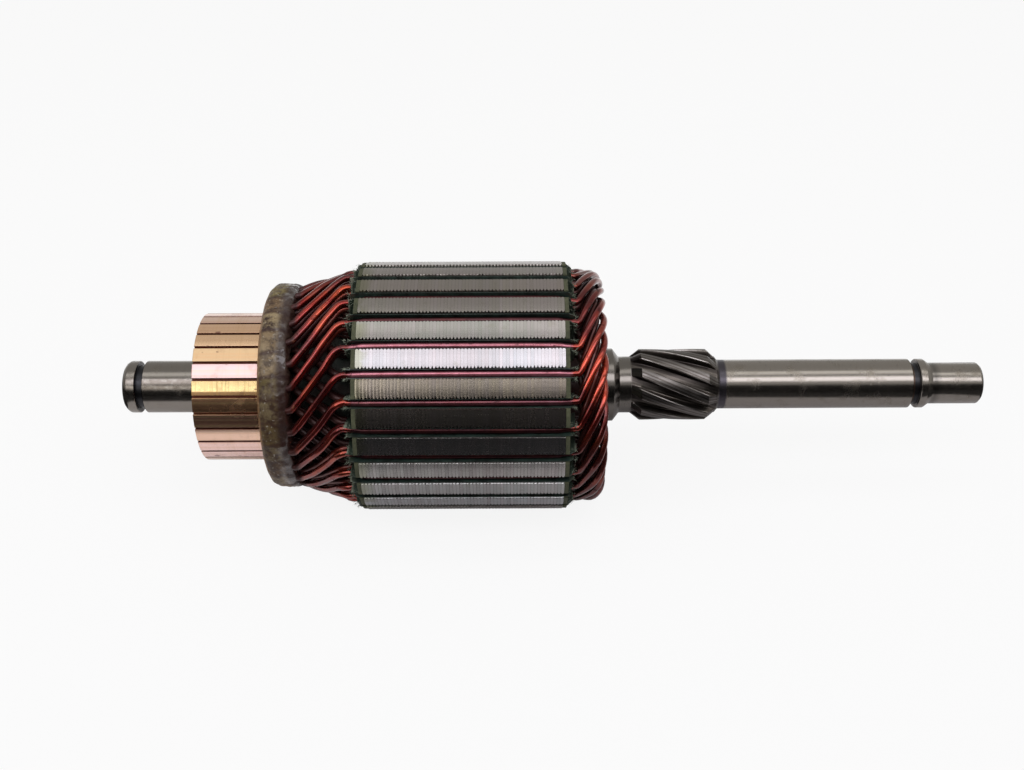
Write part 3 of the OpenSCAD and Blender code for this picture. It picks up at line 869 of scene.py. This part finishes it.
def coil_wire(k, r0, r1, wobble, slot_rise):
    """One of coil k's two wires, from bar to bar. Its ends dive into the resin band.

    It lies at r0 in its first slot, where it stands up by slot_rise, and at r1 in its second.
    """
    out = lead_points(r0, -LEAD_SPAN_UPPER, 20)
    back = [(x, r, turn + COIL_SPAN) for x, r, turn in lead_points(r1, LEAD_SPAN_LOWER, 12)]
    slot_in = [(lerp(FACE_C, FACE_D, u), r0 + rise * slot_rise, 0.0)
               for u, rise in ((0.0, 0.3), (0.05, 0.9), (0.2, 1), (0.4, 1), (0.6, 1), (0.8, 1),
                               (0.95, 0.9), (1.0, 0.3))]
    slot_out = [(lerp(FACE_D, FACE_C, u), r1, COIL_SPAN) for u in (0.0, 0.5, 1.0)]
    first = [(WIRE_END_X, out[-1][1] - 1.1, out[-1][2])]
    last = [(WIRE_END_X, back[-1][1] - 0.2, back[-1][2])]
    course = (first + out[::-1] + slot_in + nose_points(r0, r1, 26) + slot_out + back + last)
    return wire_mesh([(x, r, turn + k * PITCH) for x, r, turn in course], 12, wobble)


def build_coils(finish):
    """Twenty-eight coils of two wires, of which the outer one lies more loosely."""
    for k in range(SLOTS):
        wires = joined([coil_wire(k, WIRE_R[0], WIRE_R[3], wobble=0.42, slot_rise=1.2),
                        coil_wire(k, WIRE_R[1], WIRE_R[2], wobble=0.20, slot_rise=0.0)])
        name = "coil_%02d" % (k + 1)
        make_piece(name + "_wires", wires, finish, [name], sharp=60)


def build_lead_sleeve(finish):
    """Paper sleeve that fills the cone under the lower leads, from the bars to the stack, and
    gives the gaps between them partly painted shade.
    """
    steps, around, thick = 14, SLOTS * 4, 0.35
    highest = SLOT_FLOOR_R - 0.2
    outside = [(FACE_C - 0.02, highest)]
    outside += [(x, min(highest, r - WIRE_D / 2 - 0.15))
                for x, r, _ in lead_points(WIRE_R[3], 0.0, steps)]
    outside[-1] = (BAND_X1 + 0.02, outside[-1][1])
    rings = []
    for x, r in outside + [(x, r - thick) for x, r in outside[::-1]]:
        ring = []
        for j in range(around):
            turn = TAU * j / around
            at = Vector((x * 0.4, math.sin(turn) * 9, math.cos(turn) * 9))
            ring.append(spot(x, r - 0.18 * abs(noise.noise(at)), turn))
        rings.append(ring)
    rings.append(rings[0])
    make_piece("lead_sleeve", loft(rings, caps=False), finish, sharp=40)


# ---------------------------------------------------------------- slot liners

LINER_T = 0.18
# For the commutator's end (c), the stack's length (m) and the drive end (d): how far torn
# cuffs reach as a share of their length, and how deep their rims are sunk in mm
CUFF_REACH = {"c": (0.6, 1.2), "d": (0.45, 1.0)}
RIM_SUNK = {"c": 0.5, "m": 0.0, "d": 1.2}
CUFF_FLARE = 0.16
FRAYS_PER_WALL = 24


def liner_section(half, grow, sunk):
    """U of paper in a slot: offset from the slot's middle and radius, out along one side."""
    floor, top = SLOT_FLOOR_R + 0.03, STACK_R - 0.5 - sunk
    outer = [(-half, top), (-half, lerp(floor, top, 0.5)), (-half, floor),
             (half, floor), (half, lerp(floor, top, 0.5)), (half, top)]
    inner = [(offset * (half - LINER_T) / half, max(r, floor + LINER_T))
             for offset, r in outer[::-1]]
    return [(offset * (1 + grow), r) for offset, r in outer + inner]


def build_liners(finish):
    """Twenty-eight folded papers whose cuffs are split and frayed."""
    parts = []
    half = SLOT_W / 2 - 0.03
    stations = ([("c", u) for u in (1.0, 0.7, 0.35, 0.0)]
                + [("m", u) for u in (0.0, 0.33, 0.67, 1.0)]
                + [("d", u) for u in (0.0, 0.35, 0.7, 1.0)])
    for k in range(SLOTS):
        rings = []
        reach = {end: [random.uniform(*span) for _ in range(12)]
                 for end, span in CUFF_REACH.items()}
        for part, u in stations:
            in_cuff = part in reach
            grow = CUFF_FLARE * u * u if in_cuff else 0.0
            ring = []
            for j, (offset, r) in enumerate(liner_section(half, grow, RIM_SUNK[part] * u)):
                x = lerp(FACE_C, FACE_D, u)
                if in_cuff:
                    jag = CUFF_LEN * u * (reach[part][j if j < 6 else 11 - j] if u > 0.6 else 1)
                    x = FACE_C - jag if part == "c" else FACE_D + jag
                if in_cuff and u > 0.3:
                    r += random.uniform(-0.12, 0.22) * u
                    offset += random.uniform(-0.1, 0.1) * u
                ring.append(spot(x, math.hypot(offset, r), k * PITCH + math.atan2(offset, r)))
            rings.append(ring)
        parts.append(loft(rings))
    make_piece("slot_liner_papers", joined(parts), finish, ["slot_liners"],
               sharp=40)


def fray(k, x, way, side):
    """A loose fibre at one wall of slot k's liner: a thin spike that leans out of the stack."""
    r = STACK_R - (0.7 if way < 0 else 1.3) - 3.6 * random.random() ** 1.7
    turn = k * PITCH + side * (SLOT_W / 2 + random.uniform(-0.1, 0.25)) / r
    foot = spot(x + random.uniform(-0.9, 0.9), r, turn)
    lean = Vector((way * random.uniform(0.1, 1.0), random.uniform(-0.8, 0.8),
                   random.uniform(-0.8, 0.8)))
    out = spot(0, 1, turn).normalized() * random.uniform(0.0, 0.7)
    tip = foot + (lean + out).normalized() * random.uniform(0.35, 1.15) * MM
    width = random.uniform(0.04, 0.11) * MM
    across = (tip - foot).cross(out + Vector((0, 0, 1e-4))).normalized() * width
    deep = (tip - foot).cross(across).normalized() * width * 0.6
    corners = [foot + across, foot - across, foot + deep, tip]
    for corner in corners:
        corner.z = max(corner.z, FLOOR_Z)
    return corners, [(0, 1, 2), (0, 3, 1), (1, 3, 2), (2, 3, 0)]


def build_frays(finish):
    """Loose fibres that stand out of the liners' cuffs."""
    cuffs = ((FACE_C - CUFF_LEN * 0.6, -1), (FACE_D + CUFF_LEN * 0.5, 1))
    fibres = [fray(k, x, way, side) for k in range(SLOTS) for x, way in cuffs
              for side in (-1, 1) for _ in range(FRAYS_PER_WALL)]
    make_piece("cuff_fibres", joined(fibres), finish, sharp=30)


# ---------------------------------------------------------------- commutator

BAR_BEVEL = 0.11
# The turn at which most of the resin has gathered
HEAP_TURN = math.radians(214)


def bar_outline():
    """Long section of a copper bar: stations and radii, with both dovetails."""
    neck_r, shoulder_r = BAR_FOOT_R + 1.8, BAR_FOOT_R + 3.6
    face = BAND_X0 + 0.5
    front, back = 2.1, 1.3
    return [(TRACK_X0, TRACK_R), (TRACK_X0, shoulder_r), (TRACK_X0 + 2.2, neck_r),
            (TRACK_X0 + 1.0, BAR_FOOT_R), (BAND_X1 - 1.0, BAR_FOOT_R),
            (BAND_X1 - 2.2, neck_r), (BAND_X1, shoulder_r),
            (BAND_X1, RISER_R - back), (BAND_X1 - back, RISER_R),
            (face + front, RISER_R), (face, RISER_R - front), (face, TRACK_R)]


def build_bars(finish):
    """Twenty-eight bars with broken edges."""
    parts = []
    steps = 5
    for k in range(SLOTS):
        rings = []
        for i in range(steps + 1):
            ring = []
            for x, r in bar_outline():
                edge = math.asin(BAR_GAP / 2 / r)
                ring.append(spot(x, r, lerp(k * PITCH + edge, (k + 1) * PITCH - edge, i / steps)))
            rings.append(ring)
        parts.append(loft(rings))
    piece = make_piece("commutator_copper_bars", joined(parts), finish,
                       ["commutator_bars"], sharp=25)
    bevel = piece.modifiers.new("broken_edges", "BEVEL")
    bevel.width = BAR_BEVEL * MM
    bevel.segments = 2
    bevel.limit_method = "ANGLE"
    bevel.angle_limit = math.radians(30)
    bevel.harden_normals = False


def band_profile():
    """Stations and radii over the resin band, from its face to the foot of its back."""
    corner, face = 2.2, BAND_X0 + 0.42
    profile = [(face + 0.25, TRACK_R - 0.2), (face + 0.05, TRACK_R + 0.12)]
    profile += [(face, lerp(TRACK_R + 0.3, BAND_R - corner, i / 7)) for i in range(8)]
    profile += [(face + corner * (1 - math.cos(a)), BAND_R - corner * (1 - math.sin(a)))
                for a in (math.pi / 2 * i / 7 for i in range(1, 8))]
    profile += [(lerp(face + corner, BAND_X1 - 1.5, i / 10), BAND_R) for i in range(1, 11)]
    profile += [(BAND_X1 + along, BAND_R - down) for along, down in
                ((-1.0, 0.08), (-0.5, 0.3), (-0.1, 0.7), (0.15, 1.3), (0.3, 2.2), (0.3, 4.0),
                 (0.15, 6.0))]
    return profile


def build_band(finish):
    """Lumpy ring of resin over the risers, run down between the wires on its back."""
    around = SLOTS * 14
    rings = []
    for x, r in band_profile():
        amount = min(1.0, max(0.0, (r - TRACK_R) / 2.0))
        back = max(0.0, x - BAND_X1 + 0.6)
        ring = []
        for j in range(around):
            turn = TAU * j / around
            at = Vector((x * 0.55, math.sin(turn) * r * 0.55, math.cos(turn) * r * 0.55))
            lump = noise.fractal(at, 0.7, 2.1, 4) * 0.20 + noise.noise(at * 0.35) * 0.14
            over_risers = 0.06 * math.cos(SLOTS * turn)
            heap = 0.28 * math.cos(turn - HEAP_TURN)
            ring.append(spot(x + lump * amount * (0.6 + 1.6 * back),
                             r + (lump + over_risers + heap) * amount, turn))
        rings.append(ring)
    make_piece("riser_band_lumps", loft(rings, caps=False), finish,
               ["riser_resin_band"], sharp=60)


# ---------------------------------------------------------------- studio, in metres

def white_floor():
    """Pale floor that looks white, on metal as well, and keeps a soft shadow."""
    f = Finish("white_floor")
    f.set(Base_Color=(0.72, 0.72, 0.72), Roughness=0.9)
    camera, glossy, transmission = (f.node("LightPath", {}, {}, kind) for kind in (
        "Is Camera Ray", "Is Glossy Ray", "Is Transmission Ray"))
    seen = camera.math("MAXIMUM", glossy.math("MAXIMUM", transmission))
    white = f.node("Emission", {}, {"Color": (1.0, 1.0, 1.0), "Strength": 1.0})
    glow_share = 0.89
    surface = f.node("MixShader", {}, {0: seen * glow_share, 1: Value(f, f.shader.outputs[0]),
                                       2: white})
    f.feed(f.tree.nodes["Material Output"].inputs["Surface"], surface)
    return f.material


def table_card():
    """Grey card under the armature, paler towards the commutator."""
    f = Finish("grey_table_card")
    x = f.axes()[0]
    shade = f.layers((0.88, 0.87, 0.87), (x.above(44, 16), (0.62, 0.61, 0.61)),
                     (x.above(106, 10), (0.54, 0.53, 0.54)))
    f.set(Base_Color=shade, Roughness=0.9)
    return f.material


def flat_sheet(name, corners, material):
    """A stage sheet: the floor, a studio flag or a card."""
    mesh = bpy.data.meshes.new(name)
    mesh.from_pydata([Vector(c) for c in corners], [], [tuple(range(len(corners)))])
    mesh.materials.append(material)
    sheet = bpy.data.objects.new(name, mesh)
    bpy.context.scene.collection.objects.link(sheet)
    return sheet


def level_sheet(name, x0, x1, y0, y1, z, material):
    return flat_sheet(name, [(x0, y0, z), (x1, y0, z), (x1, y1, z), (x0, y1, z)], material)


def upright_sheet(name, x0, x1, y, z0, z1, material):
    return flat_sheet(name, [(x0, y, z0), (x1, y, z0), (x1, y, z1), (x0, y, z1)], material)


def build_stage():
    """White floor, and black flags and a grey card that only the armature's polish sees."""
    far = 6.0
    level_sheet("floor", -far, far, -far, far, FLOOR_Z, white_floor())
    black = plain_finish("black_flag_cloth", (0.024, 0.024, 0.024), 0.0, 0.9)
    left, split, right = -1.15, -0.012, 1.30
    front, middle, back = -0.200, -0.040, 0.120
    low = FLOOR_Z + 0.0003
    card_left, card_right, card_back, card_z = -0.034, 0.226, 0.060, low + 0.0002
    card = [(card_left, -0.052), (0.030, -0.052), (0.040, -0.059), (0.098, -0.059),
            (0.102, -0.068), (0.116, -0.068), (0.122, -0.046), (card_right, -0.046),
            (card_right, card_back), (card_left, card_back)]
    flags = [
        upright_sheet("front_flag_left", left, split, front, low, 0.070, black),
        upright_sheet("front_flag_right", split, right, front, low, 0.113, black),
        level_sheet("table_flag", left, right, front, middle, low, black),
        level_sheet("table_flag_left", left, card_left, middle, back, low, black),
        level_sheet("table_flag_right", card_right, right, middle, back, low, black),
        flat_sheet("table_card", [(x, y, card_z) for x, y in card], table_card())]
    for flag in flags:
        flag.visible_camera = False
        flag.visible_shadow = False
        flag.visible_diffuse = flag.name.startswith("front_flag")


def around_axis(x, distance, elevation):
    """Point at a distance from the axis, raised in front of the armature by an elevation."""
    e = math.radians(elevation)
    return Vector((x, -distance * math.cos(e), distance * math.sin(e)))


def add_lamp(name, place, aim, size, power, colour=(1, 1, 1)):
    lamp = bpy.data.lights.new(name, "AREA")
    lamp.shape = "RECTANGLE"
    lamp.size, lamp.size_y = size
    lamp.energy = power
    lamp.color = colour
    holder = bpy.data.objects.new(name, lamp)
    holder.location = place
    holder.rotation_euler = (Vector(aim) - Vector(place)).to_track_quat("-Z", "Y").to_euler()
    bpy.context.scene.collection.objects.link(holder)


def build_lights():
    """Two long boxes along the armature and a small one that lights the commutator."""
    middle = (STACK_X0 + STACK_X1) / 2 * MM
    aim = (middle, 0, 0)
    add_lamp("key_strip", around_axis(middle, 0.60, 56.5), aim, (1.5, 0.22), 2.75,
             (0.94, 0.93, 1.0))
    add_lamp("overhead_box", around_axis(middle, 0.75, 89), aim, (1.7, 0.22), 1.3)
    add_lamp("commutator_box", around_axis(-0.19, 0.50, 30.5), (0.010, 0, 0), (0.32, 0.115), 0.20,
             (1.0, 0.98, 0.96))


def build_world():
    """Grey light from all sides, and a nearly white backdrop that only the camera sees."""
    world = bpy.data.worlds.new("studio")
    world.use_nodes = True
    bpy.context.scene.world = world
    tree = world.node_tree
    background = tree.nodes["Background"]
    background.inputs["Color"].default_value = (0.50, 0.49, 0.475, 1)
    background.inputs["Strength"].default_value = 1.0
    backdrop = tree.nodes.new("ShaderNodeBackground")
    backdrop.inputs["Color"].default_value = (0.955, 0.955, 0.955, 1)
    camera_ray = tree.nodes.new("ShaderNodeLightPath").outputs["Is Camera Ray"]
    choice = tree.nodes.new("ShaderNodeMixShader")
    for i, socket in enumerate((camera_ray, background.outputs[0], backdrop.outputs[0])):
        tree.links.new(socket, choice.inputs[i])
    tree.links.new(choice.outputs[0], tree.nodes["World Output"].inputs["Surface"])


def build_camera():
    """Camera in front of the armature and above it, aimed at a point on the axis."""
    aim = Vector((83.75 * MM, 0, 0))
    distance, elevation, roll = 0.310, 33.57, -0.27
    data = bpy.data.cameras.new("view")
    data.sensor_width = 36.0
    data.lens = 43.24
    camera = bpy.data.objects.new("view", data)
    camera.location = around_axis(aim.x, distance, elevation)
    look = (aim - camera.location).to_track_quat("-Z", "Y")
    camera.rotation_mode = "QUATERNION"
    camera.rotation_quaternion = look @ Quaternion((0, 0, 1), math.radians(roll))
    bpy.context.scene.collection.objects.link(camera)
    bpy.context.scene.camera = camera


# ---------------------------------------------------------------- assembly

def paint_node(node, material):
    """A CAD node that keeps its shape gets the material of its real surface."""
    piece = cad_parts[node]
    piece.data.materials.clear()
    piece.data.materials.append(material)


build_camera()
build_shaft(shaft_steel())
build_laminations(lamination_steel())
build_coils(red_enamel())
build_lead_sleeve(sleeve_paper())
build_liners(liner_paper())
build_frays(fibre("cuff_fibre_tufts", (0.04, 0.060, 0.04), (0.30, 0.33, 0.25)))
build_bars(track_copper())
build_band(band_resin())
olive = fibre("end_insulator_fibre", (0.026, 0.031, 0.014), (0.090, 0.094, 0.048))
paint_node("end_insulator_commutator_side", olive)
paint_node("end_insulator_drive_side", olive)
paint_node("commutator_mica", plain_finish("undercut_mica", (0.17, 0.042, 0.020), 0.0, 0.7))
paint_node("commutator_moulding",
           plain_finish("phenolic_moulding", (0.055, 0.026, 0.016), 0.0, 0.35))
paint_node("commutator_bush", plain_finish("bush_steel_turned", (0.45, 0.45, 0.45), 1.0, 0.35))
build_stage()
build_lights()
build_world()

bpy.context.scene.view_settings.view_transform = "Standard"
